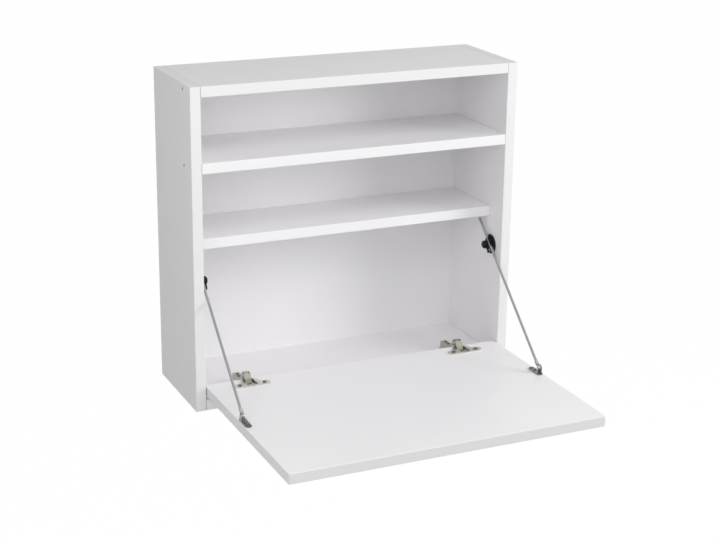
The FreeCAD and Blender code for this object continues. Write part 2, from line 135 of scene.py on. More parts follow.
def maths(nodes, links, operation, *values):
    node = nodes.new("ShaderNodeMath")
    node.operation = operation
    for socket, value in zip(node.inputs, values):
        set_input(links, socket, value)
    return node.outputs[0]


def mix_shaders(nodes, links, share, first, second):
    mix = nodes.new("ShaderNodeMixShader")
    for socket, value in zip(mix.inputs, (share, first, second)):
        set_input(links, socket, value)
    return mix.outputs[0]


def seen_or_lit(nodes, links, lit, seen):
    """Shows one shader to the camera, to gloss and through glass, and another to the rest."""
    path = nodes.new("ShaderNodeLightPath").outputs
    looked_at = maths(nodes, links, "MAXIMUM", path["Is Camera Ray"], path["Is Glossy Ray"])
    looked_at = maths(nodes, links, "MAXIMUM", looked_at, path["Is Transmission Ray"])
    return mix_shaders(nodes, links, looked_at, lit, seen)


WHITE = (1, 1, 1, 1)
world_light, paper_light = 0.41, 1.0


def plain_light(nodes, kind, strength):
    """A white background or emission of the given strength."""
    light = nodes.new(kind)
    light.inputs["Color"].default_value = WHITE
    light.inputs["Strength"].default_value = strength
    return light.outputs[0]


world = bpy.data.worlds.new("studio")
bpy.context.scene.world = world
world.use_nodes = True
nodes, links = world.node_tree.nodes, world.node_tree.links
nodes.clear()
room_light = plain_light(nodes, "ShaderNodeBackground", world_light)
white_paper = plain_light(nodes, "ShaderNodeBackground", paper_light)
world_out = nodes.new("ShaderNodeOutputWorld")
links.new(seen_or_lit(nodes, links, room_light, white_paper), world_out.inputs["Surface"])
print("world light", world_light)

# %% Lamps
def soft_lamp(name, place, aim, size, watts):
    data = bpy.data.lights.new(name, "AREA")
    data.shape = "SQUARE"
    data.size = size
    data.energy = watts
    lamp = bpy.data.objects.new(name, data)
    bpy.context.scene.collection.objects.link(lamp)
    lamp.location = place
    lamp.rotation_euler = (Vector(aim) - Vector(place)).to_track_quat("-Z", "Y").to_euler()
    lamp.visible_camera = False
    return lamp


cabinet_middle = (-0.1, -0.2, -0.2)
lamps = [
    soft_lamp("far_right_lamp", (1.8, -1.2, 0.35), cabinet_middle, 1.0, 22.5),
    soft_lamp("high_lamp", (0.2, -1.3, 1.1), cabinet_middle, 0.8, 5.5),
    soft_lamp("left_lamp", (-0.8, -1.0, 0.2), cabinet_middle, 0.8, 4.0),
]
print("lamps", {lamp.name: lamp.data.energy for lamp in lamps})

# %% Floor
floor_height = -1.22
floor_size = 60
floor_grey = 0.85
paint_glow, glow_share = 1.02, 0.96
bpy.ops.object.select_all(action="DESELECT")
bpy.ops.mesh.primitive_plane_add(size=floor_size, location=(0, 0, floor_height))
floor = bpy.context.object
floor.name = "floor"
floor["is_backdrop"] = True
floor_paint = bpy.data.materials.new("floor_paint")
floor_paint.use_nodes = True
nodes, links = floor_paint.node_tree.nodes, floor_paint.node_tree.links
nodes.clear()
paint = nodes.new("ShaderNodeBsdfDiffuse")
paint.inputs["Color"].default_value = (floor_grey, floor_grey, floor_grey, 1)
matt = paint.outputs[0]
glow = plain_light(nodes, "ShaderNodeEmission", paint_glow)
shaded_white = mix_shaders(nodes, links, glow_share, matt, glow)
floor_out = nodes.new("ShaderNodeOutputMaterial")
links.new(seen_or_lit(nodes, links, matt, shaded_white), floor_out.inputs["Surface"])
floor.data.materials.append(floor_paint)
print("floor", round(cad_low.z - floor_height, 2), "m below the cabinet")

# %% [markdown]
# ## Finishes
# Finishes are made of nodes, and the same few arrangements come back in all of them. So each
# gets a small function that takes plain values or other nodes' outputs: a group with named
# sockets, a blend of two colours, a noise, and a factor that darkens by a given amount.

# %% Node helpers
def new_group(name, inputs, outputs):
    """A node group with its sockets, each a name and a kind, or a name and a starting number."""
    tree = bpy.data.node_groups.new(name, "ShaderNodeTree")
    for in_out, sockets in (("INPUT", inputs), ("OUTPUT", outputs)):
        for socket_name, kind in sockets:
            is_number = not isinstance(kind, str)
            socket_type = "NodeSocket" + ("Float" if is_number else kind)
            socket = tree.interface.new_socket(name=socket_name, in_out=in_out, socket_type=socket_type)
            if is_number:
                socket.default_value = kind
    given = tree.nodes.new("NodeGroupInput")
    result = tree.nodes.new("NodeGroupOutput")
    return tree, given.outputs, result.inputs


def blend(nodes, links, kind, share, under, over):
    mix = nodes.new("ShaderNodeMix")
    mix.data_type = "RGBA"
    mix.blend_type = kind
    for socket, value in (("Factor", share), ("A", under), ("B", over)):
        set_input(links, mix.inputs[socket], (*value, 1) if isinstance(value, tuple) else value)
    return mix.outputs["Result"]


def noise(nodes, links, place, scale, detail):
    texture = nodes.new("ShaderNodeTexNoise")
    for socket, value in (("Vector", place), ("Scale", scale), ("Detail", detail)):
        set_input(links, texture.inputs[socket], value)
    return texture.outputs["Fac"]


def darkening(nodes, links, value, amount, low=0.0, high=1.0):
    """Turns a value from low to high into a factor that takes away up to the given amount."""
    tone = nodes.new("ShaderNodeMapRange")
    lowest = maths(nodes, links, "SUBTRACT", 1.0, amount)
    for socket, number in (("Value", value), ("From Min", low), ("From Max", high), ("To Min", lowest)):
        set_input(links, tone.inputs[socket], number)
    return tone.outputs[0]


print("node helpers", [helper.__name__ for helper in (new_group, blend, noise, darkening)])

# %% [markdown]
# Nothing real is one flat colour. Every finish here starts from the same three ideas: a broad,
# faint drift of tone across the piece, a fine grain that breaks up the gloss, and a tiny relief
# for light to catch. One node group holds them and each material sets its own amounts, so the
# finishes stay related and one change reaches them all.

# %% A node group for tone, gloss and grain
drift_low, drift_high = 0.3, 0.7
drift_detail, grain_detail = 3, 2


def build_surface_group():
    numbers = (
        ("Drift scale", 4.0), ("Drift", 0.03), ("Grain scale", 900.0),
        ("Grain", 0.02), ("Gloss", 0.4), ("Gloss spread", 0.06),
    )
    tree, given, result = new_group(
        "surface_life", (("Colour", "Color"), ("Vector", "Vector"), *numbers),
        (("Colour", "Color"), ("Roughness", 0.0), ("Height", 0.0)),
    )
    nodes, links = tree.nodes, tree.links
    drift = noise(nodes, links, given["Vector"], given["Drift scale"], drift_detail)
    grain = noise(nodes, links, given["Vector"], given["Grain scale"], grain_detail)
    cloud = darkening(nodes, links, drift, given["Drift"], drift_low, drift_high)
    speck = darkening(nodes, links, grain, given["Grain"])
    both = maths(nodes, links, "MULTIPLY", cloud, speck)
    gloss = maths(nodes, links, "MULTIPLY_ADD", drift, given["Gloss spread"], given["Gloss"])
    links.new(blend(nodes, links, "MULTIPLY", 1.0, given["Colour"], both), result["Colour"])
    links.new(gloss, result["Roughness"])
    links.new(grain, result["Height"])
    return tree


surface_life = build_surface_group()
print("surface group sockets", [item.name for item in surface_life.interface.items_tree])

# %% [markdown]
# Every finish is the same small tree: object coordinates, perhaps stretched so that the grain
# runs one way as on rolled or brushed steel, then the group, then one Principled shader and a
# bump. Only the numbers differ, so one function makes them all.

# %% A finish from the group
bump_strength = 0.5


def finish(name, colour, gloss, drift=0.03, grain=0.02, grain_scale=900.0, relief=0.02,
           metal=0.0, stretch=(1, 1, 1), spread=0.06, drift_scale=4.0, specular=0.5):
    """A material. Its relief is in millimetres, and its grain and drift are shares of the tone."""
    material = bpy.data.materials.new(name)
    material.use_nodes = True
    nodes, links = material.node_tree.nodes, material.node_tree.links
    shader = nodes["Principled BSDF"]
    place = nodes.new("ShaderNodeTexCoord")
    mapping = nodes.new("ShaderNodeMapping")
    mapping.inputs["Scale"].default_value = stretch
    life = nodes.new("ShaderNodeGroup")
    life.node_tree = surface_life
    links.new(place.outputs["Object"], mapping.inputs["Vector"])
    links.new(mapping.outputs["Vector"], life.inputs["Vector"])
    life.inputs["Colour"].default_value = (*colour, 1)
    for socket, value in (
        ("Drift scale", drift_scale), ("Drift", drift), ("Grain scale", grain_scale),
        ("Grain", grain), ("Gloss", gloss), ("Gloss spread", spread),
    ):
        life.inputs[socket].default_value = value
    bump = nodes.new("ShaderNodeBump")
    bump.inputs["Strength"].default_value = bump_strength
    bump.inputs["Distance"].default_value = relief * MM
    links.new(life.outputs["Height"], bump.inputs["Height"])
    links.new(life.outputs["Colour"], shader.inputs["Base Color"])
    links.new(life.outputs["Roughness"], shader.inputs["Roughness"])
    links.new(bump.outputs["Normal"], shader.inputs["Normal"])
    shader.inputs["Metallic"].default_value = metal
    shader.inputs["Specular IOR Level"].default_value = specular
    return material


def wear(node_or_piece, material):
    """Puts one finish on a solid from the frame or on a new piece."""
    target = bpy.data.objects[node_or_piece] if isinstance(node_or_piece, str) else node_or_piece
    slots = target.data.materials
    if len(slots) == 0:
        slots.append(material)
    for index in range(len(slots)):
        slots[index] = material


print("finishes share", surface_life.name)

# %% [markdown]
# ### White faced board
# The carcass, shelves and flap are particle board faced with white melamine. Up close the
# facing has a fine orange peel that spreads the highlights, and it is never quite pure white.
# The show edges carry a plastic band, and the rear edges, which face the wall, stay raw. One
# small group tells where a board's outer edges are from its own coordinates, so a finish can
# change there without cutting the board up. The same group draws the fine dark line where one
# board butts against another.

# %% A mask for a board's edges
AXES = ("X", "Y", "Z")
FAR = 10.0


def build_edge_group():
    """Puts out 1 outside the given limits of x, y and z, and 0 inside them."""
    limits = [(end + axis, far) for axis in AXES for end, far in (("Low ", -FAR), ("High ", FAR))]
    tree, given, result = new_group("board_edges", (("Vector", "Vector"), *limits), (("Mask", 0.0),))
    nodes, links = tree.nodes, tree.links
    axes = nodes.new("ShaderNodeSeparateXYZ")
    links.new(given["Vector"], axes.inputs[0])
    outside = 0.0
    for axis in AXES:
        for end, operation in (("Low ", "LESS_THAN"), ("High ", "GREATER_THAN")):
            beyond = maths(nodes, links, operation, axes.outputs[axis], given[end + axis])
            outside = maths(nodes, links, "MAXIMUM", outside, beyond)
    links.new(outside, result["Mask"])
    return tree


board_edges = build_edge_group()
print("edge mask", [item.name for item in board_edges.interface.items_tree])

# %% [markdown]
# Raw particle board is pressed from chips of different woods. A Voronoi texture cuts the
# surface into cells, and each cell's own random value picks its tone of brown.

# %% Raw particle board
chips_per_metre = 420.0
bark_brown, chip_brown, chip_pale = (0.21, 0.13, 0.07), (0.42, 0.29, 0.17), (0.56, 0.42, 0.27)
chip_brown_at = 0.35


def build_chip_group():
    tree, given, result = new_group(
        "pressed_chips", (("Vector", "Vector"), ("Chips", chips_per_metre)), (("Colour", "Color"),),
    )
    nodes, links = tree.nodes, tree.links
    cells = nodes.new("ShaderNodeTexVoronoi")
    links.new(given["Vector"], cells.inputs["Vector"])
    links.new(given["Chips"], cells.inputs["Scale"])
    tone = nodes.new("ShaderNodeSeparateColor")
    links.new(cells.outputs["Color"], tone.inputs[0])
    ramp = nodes.new("ShaderNodeValToRGB")
    ramp.color_ramp.elements[0].color = (*bark_brown, 1)
    ramp.color_ramp.elements[1].color = (*chip_pale, 1)
    ramp.color_ramp.elements.new(chip_brown_at).color = (*chip_brown, 1)
    links.new(tone.outputs[0], ramp.inputs["Fac"])
    links.new(ramp.outputs["Color"], result["Colour"])
    return tree


pressed_chips = build_chip_group()
print("chip tones", bark_brown, chip_brown, chip_pale)

# %% [markdown]
# A board's finish is then the white facing with changes laid over it by masks: the band on its
# show edges, greyed with painted shade, a seam where it meets the sides, and the raw core on its
# rear edge. The mask limits come from the board's own box, so they stay right when the board
# changes.

# %% Board finish
edge_skin = 0.4 * MM


def edge_mask(nodes, links, place, limits):
    group = nodes.new("ShaderNodeGroup")
    group.node_tree = board_edges
    links.new(place, group.inputs["Vector"])
    for socket, value in limits.items():
        group.inputs[socket].default_value = value
    return group.outputs["Mask"]


def board_finish(name, colour, edges=(), raw_behind=None, chips=chips_per_metre, **look):
    """A faced board. Each of its edges is a pair: the limits that it starts at, and its colour."""
    material = finish(name, colour, **look)
    nodes, links = material.node_tree.nodes, material.node_tree.links
    shader = nodes["Principled BSDF"]
    place = nodes.new("ShaderNodeTexCoord").outputs["Object"]
    shown = shader.inputs["Base Color"].links[0].from_socket
    for limits, edge_colour in edges:
        mask = edge_mask(nodes, links, place, limits)
        shown = blend(nodes, links, "MIX", mask, shown, edge_colour)
    if raw_behind is not None:
        core = nodes.new("ShaderNodeGroup")
        core.node_tree = pressed_chips
        core.inputs["Chips"].default_value = chips
        links.new(place, core.inputs["Vector"])
        mask = edge_mask(nodes, links, place, {"High Y": raw_behind - edge_skin})
        shown = blend(nodes, links, "MIX", mask, shown, core.outputs["Colour"])
    links.new(shown, shader.inputs["Base Color"])
    return material


print("edge changes start", round(edge_skin / MM, 2), "mm inside a face")

# %% [markdown]
# The sides' top edges are a touch darker than the top panel between them. The loose shelf has
# no seams, because it only rests on its pins, and the back is fibreboard, whose chips are fine.

# %% Where the edges are, and their colours
band_depth = 0.8 * MM
seam_width = 0.45 * MM
# Painted shade: the bands on the front edges, and the flap's band most, are greyer than the faces, standing
# in for the shade on the front edges.
front_edge_painted_shade, flap_edge_painted_shade = (0.855, 0.85, 0.855), (0.86, 0.86, 0.855)
side_top_colour = (0.835, 0.825, 0.835)
seam_shadow = (0.40, 0.395, 0.39)
rear_plane = cad_high.y
side_low, side_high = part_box("right_side_panel")
top_low, top_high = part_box("top_panel")
flap_low, flap_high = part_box("flap_panel")
shaded_front_band = ({"Low Y": side_low.y + band_depth}, front_edge_painted_shade)
side_top = ({"High Z": side_high.z - edge_skin}, side_top_colour)
seams = ({"Low X": top_low.x + seam_width, "High X": top_high.x - seam_width}, seam_shadow)
flap_limits = {
    "Low X": flap_low.x + band_depth, "High X": flap_high.x - band_depth,
    "Low Y": flap_low.y + band_depth, "High Y": flap_high.y - band_depth,
}
shaded_flap_band = (flap_limits, flap_edge_painted_shade)
print("boards from", round(top_low.x, 4), "to", round(top_high.x, 4), "m between the sides")

# %% Finish the boards
facing = {"gloss": 0.42, "grain_scale": 700, "relief": 0.03}
flap_facing = {"gloss": 0.38, "grain_scale": 700, "relief": 0.03}
lacquer = {"gloss": 0.5, "grain_scale": 1200, "relief": 0.02}
fibres_per_metre = 2600.0
# Painted light: the shelves, the back and the flap get a whiter copy of the carcass white, standing in for
# the brighter light inside the compartments and on the flap.
board_colour, shelf_tone_with_painted_light = (0.885, 0.875, 0.888), (0.94, 0.93, 0.943)
flap_tone_with_painted_light = (0.93, 0.92, 0.933)
side_white = board_finish("side_white", board_colour, (side_top, shaded_front_band), rear_plane, **facing)
span_white = board_finish("span_white", board_colour, (shaded_front_band, seams), rear_plane, **facing)
fixed_shelf_white = board_finish("fixed_shelf_white", shelf_tone_with_painted_light, (seams,), **facing)
loose_shelf_white = board_finish("loose_shelf_white", shelf_tone_with_painted_light, **facing)
flap_white = board_finish("flap_white", flap_tone_with_painted_light, (shaded_flap_band,), **flap_facing)
back_white = board_finish("back_white", shelf_tone_with_painted_light, (), rear_plane, fibres_per_metre, **lacquer)
boards = {
    "left_side_panel": side_white, "right_side_panel": side_white,
    "top_panel": span_white, "bottom_panel": span_white, "upper_shelf": fixed_shelf_white,
    "lower_shelf": loose_shelf_white, "flap_panel": flap_white, "back_panel": back_white,
}
for board, material in boards.items():
    wear(board, material)
print(len(boards), "boards finished")

# %% [markdown]
# ### Plated steel
# The hinges are pressed from sheet and nickel plated. Rolling leaves faint lines along each
# strip, so the grain is stretched along the piece. The plating has a warm tint. Hangers, nails
# and some screws are zinc plated, which is bluer and duller, and the other screws are painted
# dark, as painted shade in their recesses.
# What several metals share is kept in one set of values, and only the rest is given for each.

# %% Metal finishes
def metal_stock(grain, grain_scale, relief, spread, metal=1.0, **more):
    shared = {"grain": grain, "grain_scale": grain_scale, "relief": relief, "spread": spread}
    return {**shared, "metal": metal, **more}


rolled = metal_stock(grain=0.06, grain_scale=260, relief=0.01, spread=0.12, stretch=(6, 0.6, 6))
screw_stock = metal_stock(grain=0.08, grain_scale=300, relief=0.01, spread=0.14, drift_scale=90)
turned = metal_stock(grain=0.04, grain_scale=400, relief=0.005, spread=0.1, drift_scale=80)
coated = metal_stock(grain=0.08, grain_scale=600, relief=0.02, spread=0.1, metal=0.85, drift_scale=70)
crimped = metal_stock(grain=0.06, grain_scale=300, relief=0.01, spread=0.12, metal=0.9, drift_scale=80)
nickel = finish("warm_nickel", (0.76, 0.745, 0.70), 0.22, drift=0.12, drift_scale=110, **rolled)
# Painted shade: the arm and the link are darker copies of the cup's nickel plating, standing in for the
# shade and the dull reflections on them.
arm_plating_painted_shade = finish("arm_nickel", (0.54, 0.53, 0.47), 0.32, drift=0.16, drift_scale=60, **rolled)
link_plating_painted_shade = finish("link_nickel", (0.31, 0.305, 0.25), 0.42, drift=0.14, drift_scale=60, **rolled)
polished_pin = finish("polished_pin", (0.66, 0.65, 0.63), 0.2, drift=0.06, stretch=(1, 6, 6), **turned)
# Painted shade: these heads are coloured dark, standing in for the shade in their recesses.
shade_painted_screw = finish("shade_painted_screw", (0.16, 0.155, 0.14), 0.38, drift=0.14, stretch=(4, 4, 4), **screw_stock)
zinc = finish("bright_zinc", (0.64, 0.65, 0.67), 0.34, drift=0.14, stretch=(4, 4, 1), **screw_stock)
dark_steel = finish("bracket_steel_finish", (0.27, 0.27, 0.275), 0.24, drift=0.34, **coated)
ferrule_steel = finish("ferrule_steel", (0.40, 0.40, 0.405), 0.32, drift=0.12, **crimped)
print("metals", nickel.name, arm_plating_painted_shade.name, link_plating_painted_shade.name, zinc.name, dark_steel.name)

# %% Finish the fittings
fittings = {
    "hinge_cup": nickel, "mounting_plate": nickel, "hinge_arm": arm_plating_painted_shade, "hinge_link": link_plating_painted_shade,
    "hinge_pin": polished_pin, "cup_pin": polished_pin, "hanger_plate": zinc,
    "flap_bracket": dark_steel, "cable_terminal": ferrule_steel, "cable_rivet": zinc,
}
for side in SIDES:
    for fitting, metal in fittings.items():
        wear(f"{side}_{fitting}", metal)
wear("shelf_pins", polished_pin)
print(len(fittings), "fittings on each side")

# %% [markdown]
# The four screws in the side panels have a hexagon socket. Little light gets into it, so the
# finish is painted dark below the head's flat face, as painted shade in the socket.

# %% Panel screws
socket_painted_shade = (0.02, 0.02, 0.02)
polished_head = metal_stock(grain=0.06, grain_scale=300, relief=0.01, spread=0.1, drift_scale=90)
head_zinc = finish("head_zinc", (0.62, 0.62, 0.63), 0.3, drift=0.08, stretch=(1, 4, 4), **polished_head)
nodes, links = head_zinc.node_tree.nodes, head_zinc.node_tree.links
shader = nodes["Principled BSDF"]
place = nodes.new("ShaderNodeTexCoord").outputs["Object"]
screws_low, screws_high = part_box("panel_screws")
face_mask = edge_mask(nodes, links, place, {
    "Low X": screws_low.x + edge_skin, "High X": screws_high.x - edge_skin,
})
plated = shader.inputs["Base Color"].links[0].from_socket
# Below the head's flat face the colour is painted shade.
links.new(blend(nodes, links, "MIX", face_mask, socket_painted_shade, plated), shader.inputs["Base Color"])
wear("panel_screws", head_zinc)
print("panel screws end", round(screws_high.x, 4), "m from the middle")

# %% [markdown]
# ### Moulded plastic
# The clamps are black plastic with a spark-eroded texture. The cable has a smooth grey sheath.

# %% Plastic finishes
moulded = {
    "drift": 0.2, "grain": 0.15, "grain_scale": 1800, "relief": 0.03,
    "spread": 0.12, "drift_scale": 80, "specular": 0.22,
}
extruded = {
    "drift": 0.08, "grain": 0.05, "grain_scale": 1500, "relief": 0.02, "spread": 0.1, "drift_scale": 40,
}
clamp_black = finish("clamp_black", (0.012, 0.012, 0.014), 0.40, **moulded)
knob_black = finish("knob_black", (0.010, 0.010, 0.012), 0.34, **moulded)
sheath_grey = finish("sheath_grey", (0.37, 0.37, 0.375), 0.40, **extruded)
for side in SIDES:
    wear(side + "_stay_clamp", clamp_black)
    wear(side + "_clamp_knob", knob_black)
    wear(side + "_stay_cable", sheath_grey)
print("plastics", clamp_black.name, knob_black.name, sheath_grey.name)

# %% [markdown]
# ## Screw heads
# A screw in sheet metal shows only its head: a low dome with a cross recess for the driver.
# We model one by hand at a size of 1 and copy it. The dome comes from a cylinder whose top
# edge is bevelled, and the cross is cut by two bars, one after the other, with a Boolean
# modifier. Two single cuts are safer than one cut with bars that cross each other.

# %% Editing helpers
TINY = 1e-6


def start_piece(name):
    """Names the primitive that was just added and enters edit mode with nothing selected."""
    piece = bpy.context.object
    piece.name = name
    piece.data.name = name
    bpy.ops.object.mode_set(mode="EDIT")
    bpy.ops.mesh.select_all(action="DESELECT")
    return piece


def choose(piece, kind, wanted):
    """Selects the faces or edges of a piece in edit mode for which wanted() is true."""
    mesh = bmesh.from_edit_mesh(piece.data)
    bpy.context.tool_settings.mesh_select_mode = (False, kind == "edges", kind == "faces")
    for item in getattr(mesh, kind):
        item.select_set(bool(wanted(item)))
    mesh.select_flush_mode()
    bmesh.update_edit_mesh(piece.data)


def end_piece(piece, smooth_degrees=30):
    """Leaves edit mode, bakes the place into the mesh and smooths all but the sharp edges."""
    bpy.ops.object.mode_set(mode="OBJECT")
    bpy.ops.object.select_all(action="DESELECT")
    piece.select_set(True)
    bpy.context.view_layer.objects.active = piece
    bpy.ops.object.transform_apply(location=True, rotation=True, scale=True)
    bpy.ops.object.shade_smooth_by_angle(angle=math.radians(smooth_degrees))
    return piece


def cut_with(piece, cutter):
    """Cuts one piece out of another and throws the cutter away."""
    hole = piece.modifiers.new("cut", "BOOLEAN")
    hole.operation = "DIFFERENCE"
    hole.object = cutter
    bpy.context.view_layer.objects.active = piece
    bpy.ops.object.modifier_apply(modifier=hole.name)
    bpy.data.objects.remove(cutter, do_unlink=True)


print("edit helpers", start_piece.__name__, choose.__name__, end_piece.__name__, cut_with.__name__)

# %% One screw head
SCREW_HEIGHT = 0.45
cross_length, cross_width = 1.25, 0.28
bar_height, bar_middle = 0.7, (0, 0, 0.5)


def slot_cutter(turn):
    """A bar across the top of the head, turned about the screw's axis."""
    bpy.ops.object.select_all(action="DESELECT")
    bpy.ops.mesh.primitive_cube_add(size=1, location=bar_middle)
    bar = start_piece("slot_cutter")
    bpy.ops.mesh.select_all(action="SELECT")
    size = (cross_length, cross_width, bar_height)
    bpy.ops.transform.resize(value=size, center_override=bar_middle)
    bpy.ops.transform.rotate(value=turn, orient_axis="Z", center_override=bar_middle)
    return end_piece(bar)


def model_head(name, height, rim, steps, sides=32, profile=0.5):
    """A low cylinder of radius 1 that stands on the ground, with its upper rim bevelled."""
    bpy.ops.object.select_all(action="DESELECT")
    bpy.ops.mesh.primitive_cylinder_add(vertices=sides, radius=1, depth=height, location=(0, 0, height / 2))
    head = start_piece(name)
    choose(head, "edges", lambda edge: all(v.co.z > height / 2 - TINY for v in edge.verts))
    bpy.ops.mesh.bevel(offset=rim, segments=steps, profile=profile)
    return end_piece(head)


screw_head = model_head("screw_head_master", SCREW_HEIGHT, rim=0.3, steps=4, profile=0.6)
for turn in (0, math.pi / 2):
    cut_with(screw_head, slot_cutter(turn))
print("screw head", len(screw_head.data.polygons), "faces")

# %% [markdown]
# Each screw is a copy of that head with its own mesh, scaled to its radius, turned so that it
# faces out of the surface, and spun by a different amount. Real screws never line up.

# %% Copy a head to its place
UP, TO_WALL = (0, 0, 1), (0, 1, 0)
spin_step = 0.9
sunk = 0.2 * MM


def face_along(direction):
    return Vector(UP).rotation_difference(Vector(direction)).to_matrix().to_4x4()


def fasten(piece, material, body):
    """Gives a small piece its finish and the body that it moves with."""
    wear(piece, material)
    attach(piece, body)


def copy_to(master, name, place, direction, radius, spin=0.0):
    piece = bpy.data.objects.new(name, master.data.copy())
    piece.data.name = name
    bpy.context.scene.collection.objects.link(piece)
    turn = face_along(direction) @ Matrix.Rotation(spin, 4, "Z") @ Matrix.Scale(radius, 4)
    piece.data.transform(Matrix.Translation(Vector(place)) @ turn)
    return piece


screws = []


def add_screw(name, place, direction, radius, body, material):
    spin = spin_step * len(screws)
    piece = copy_to(screw_head, name, place, direction, radius, spin)
    fasten(piece, material, body)
    screws.append(piece)


print("screw heads are sunk", round(sunk / MM, 2), "mm")

# %% [markdown]
# A hinge cup is held by a screw in each ear, its mounting plate by one at each end, and the arm
# by two screws that clamp it and set its depth. The flap's bracket has two close together. The
# places are worked out from the fittings' own boxes, with the sizes that such fittings have.

# %% Put screws in the hinges and brackets
cup_ear_step, cup_ear_set_back = 22.5 * MM, 9.5 * MM
plate_thickness, plate_screw_inset = 2 * MM, 6 * MM
arm_thickness = 1.2 * MM
arm_screws_from_end = (("front", 19 * MM), ("rear", 9 * MM))
bracket_thickness = 2 * MM
bracket_screws_from_end = (("a", 6 * MM), ("b", 16.5 * MM))
cup_screw, plate_screw, arm_screw, bracket_screw = 3.6 * MM, 3.2 * MM, 3.1 * MM, 2.8 * MM


def box_and_middle(node):
    low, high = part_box(node)
    return low, high, (low + high) / 2


def add_cup_screws(side):
    _, high, middle = box_and_middle(side + "_hinge_cup")
    for end, step in (("a", -cup_ear_step), ("b", cup_ear_step)):
        place = (middle.x + step, middle.y - cup_ear_set_back, high.z - sunk)
        add_screw(f"{side}_cup_screw_{end}", place, UP, cup_screw, "flap", shade_painted_screw)


def add_plate_screws(side):
    low, high, middle = box_and_middle(side + "_mounting_plate")
    base_top = low.z + plate_thickness
    for end, y in (("front", low.y + plate_screw_inset), ("rear", high.y - plate_screw_inset)):
        place = (middle.x, y, base_top - sunk)
        add_screw(f"{side}_plate_screw_{end}", place, UP, plate_screw, "cabinet", zinc)


def add_arm_screws(side):
    _, plate_high, middle = box_and_middle(side + "_mounting_plate")
    _, arm_high, _ = box_and_middle(side + "_hinge_arm")
    for end, depth in arm_screws_from_end:
        place = (middle.x, arm_high.y - depth, plate_high.z + arm_thickness - sunk)
        add_screw(f"{side}_arm_screw_{end}", place, UP, arm_screw, "cabinet", shade_painted_screw)


def add_bracket_screws(side):
    """The screws sit in the bracket's long end, which the rivet isn't on."""
    low, high, middle = box_and_middle(side + "_flap_bracket")
    rivet_low, _, _ = box_and_middle(side + "_cable_rivet")
    long_end, inwards = (low.y, 1) if middle.y < rivet_low.y else (high.y, -1)
    for end, from_end in bracket_screws_from_end:
        place = (middle.x, long_end + inwards * from_end, low.z + bracket_thickness - sunk)
        add_screw(f"{side}_bracket_screw_{end}", place, UP, bracket_screw, "flap", shade_painted_screw)


for side in SIDES:
    add_cup_screws(side)
    add_plate_screws(side)
    add_arm_screws(side)
    add_bracket_screws(side)
print(len(screws), "screws so far")

# %% [markdown]
# Each clamp is held to its side panel by two screws, which stand either side of the line that
# crosses the cable. So we first work out each cable's line from its box: its two ends, its
# direction and its radius.

# %% Find the cables' lines
def towards_middle(side):
    return 1 if side == "left" else -1


def inner_and_outer(side, low, high):
    """The x of a box's face towards the desk's middle, and of the one away from it."""
    return (high.x, low.x) if side == "left" else (low.x, high.x)


def find_cable(side):
    low, high, _ = box_and_middle(side + "_stay_cable")
    inner, outer = inner_and_outer(side, low, high)
    x, radius = (inner + outer) / 2, abs(inner - outer) / 2
    slope = math.atan2(high.z - low.z, high.y - low.y)
    along = Vector((0, math.cos(slope), math.sin(slope)))
    corner_to_axis = Vector((0, math.sin(slope), math.cos(slope))) * radius
    start = Vector((x, low.y, low.z)) + corner_to_axis
    end = Vector((x, high.y, high.z)) - corner_to_axis
    return start, end, along, radius


cables = {side: find_cable(side) for side in SIDES}
print("cable length", [round((end - start).length, 4) for start, end, _, _ in cables.values()], "m")

# %% Clamp screws
clamp_screw = 2.4 * MM
clamp_screw_out, clamp_base_thickness = 12.4 * MM, 2.4 * MM
clamp_screw_angles = (("a", -38), ("b", 38))


def add_clamp_screws(side):
    _, _, along, _ = cables[side]
    low, high, middle = box_and_middle(side + "_stay_clamp")
    _, wall_x = inner_and_outer(side, low, high)
    inward = Vector((towards_middle(side), 0, 0))
    across = Vector((0, along.z, -along.y))
    centre = Vector((wall_x, middle.y, middle.z))
    for end, degrees in clamp_screw_angles:
        turn = math.radians(degrees)
        way = across * math.cos(turn) + along * math.sin(turn)
        place = centre + way * clamp_screw_out + inward * (clamp_base_thickness - sunk)
        add_screw(f"{side}_clamp_screw_{end}", place, inward, clamp_screw, "cabinet", zinc)


for side in SIDES:
    add_clamp_screws(side)
print(len(screws), "screws with the clamps'")

# %% [markdown]
# ## Fixings on the rear
# The thin back lies in a rebate and is nailed all round, and each hanger plate is held by two
# countersunk screws. All these heads are sunk until they are all but flush, because the cabinet
# hangs flat against the wall. A nail head is a short cylinder with an eased rim.

# %% Nails
NAIL_HEIGHT = 0.4
nail_radius = 1.3 * MM
nail_gaps = 4
nail_inset = Vector((3 * MM, 0, 3 * MM))
proud = 0.01 * MM


def along_rim(low, high, gaps):
    """Even places round an upright rectangle, its corners among them."""
    across = [low.x + (high.x - low.x) * step / gaps for step in range(gaps + 1)]
    upward = [low.z + (high.z - low.z) * step / gaps for step in range(1, gaps)]
    places = [(x, z) for z in (low.z, high.z) for x in across]
    return places + [(x, z) for x in (low.x, high.x) for z in upward]


nail_head = model_head("nail_head_master", NAIL_HEIGHT, rim=0.15, steps=2, sides=20)
low, high, _ = box_and_middle("back_panel")
nails = []
for x, z in along_rim(low + nail_inset, high - nail_inset, nail_gaps):
    place = (x, high.y + proud - NAIL_HEIGHT * nail_radius, z)
    nail = copy_to(nail_head, f"back_nail_{len(nails) + 1:02d}", place, TO_WALL, nail_radius)
    fasten(nail, zinc, "cabinet")
    nails.append(nail)
print(len(nails), "nails")

